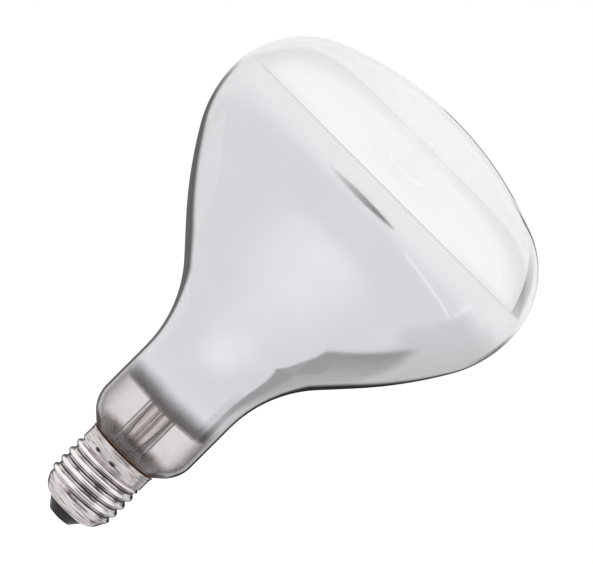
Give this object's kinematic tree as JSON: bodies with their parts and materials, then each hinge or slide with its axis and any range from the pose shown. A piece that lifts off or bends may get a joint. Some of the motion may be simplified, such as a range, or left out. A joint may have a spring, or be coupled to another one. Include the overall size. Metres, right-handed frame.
{
  "type": "infrared reflector bulb",
  "caption": "Infrared reflector bulb: flared blown-glass bowl mirrored inside, domed clear face, clear neck and rolled screw cap.",
  "frame": {"origin": "centre of the solder on the cap's centre contact", "axes": "+Z along the lamp's axis, from the cap to the face; X is across the two wires of the stem"},
  "size_m": [0.125, 0.125, 0.1817],
  "materials": {
    "blown_glass": "clear, fire-polished",
    "stem_glass": "clear, fire-polished",
    "aluminium_film": "vacuum-coated, bright",
    "cap_sheet": "rolled, bright",
    "black_bead": "black vitrified glass",
    "contact_brass": "stamped",
    "solder": "bright solder",
    "cement": "baked resin cement",
    "copper_wire": "drawn copper",
    "dumet_wire": "copper-sheathed, red",
    "nickel_wire": "drawn nickel",
    "tungsten_coil": "coiled, dull grey",
    "molybdenum_wire": "drawn molybdenum"
  },
  "bodies": {
    "root": {"bulb_envelope": "blown_glass", "reflector_coating": "aluminium_film", "stem_tube": "stem_glass", "exhaust_tube": "stem_glass", "button_rod": "stem_glass", "seal_wire_left": "dumet_wire", "seal_wire_right": "dumet_wire", "outer_lead_centre": "copper_wire", "outer_lead_side": "copper_wire", "inner_lead_left": "nickel_wire", "inner_lead_right": "nickel_wire", "filament": "tungsten_coil", "support_1": "molybdenum_wire", "support_2": "molybdenum_wire", "support_3": "molybdenum_wire", "support_4": "molybdenum_wire", "support_5": "molybdenum_wire", "screw_shell": "cap_sheet", "cap_insulator": "black_bead", "contact_plate": "contact_brass", "contact_solder": "solder", "basing_cement": "cement", "side_weld": "solder"}
  },
  "joints": []
}
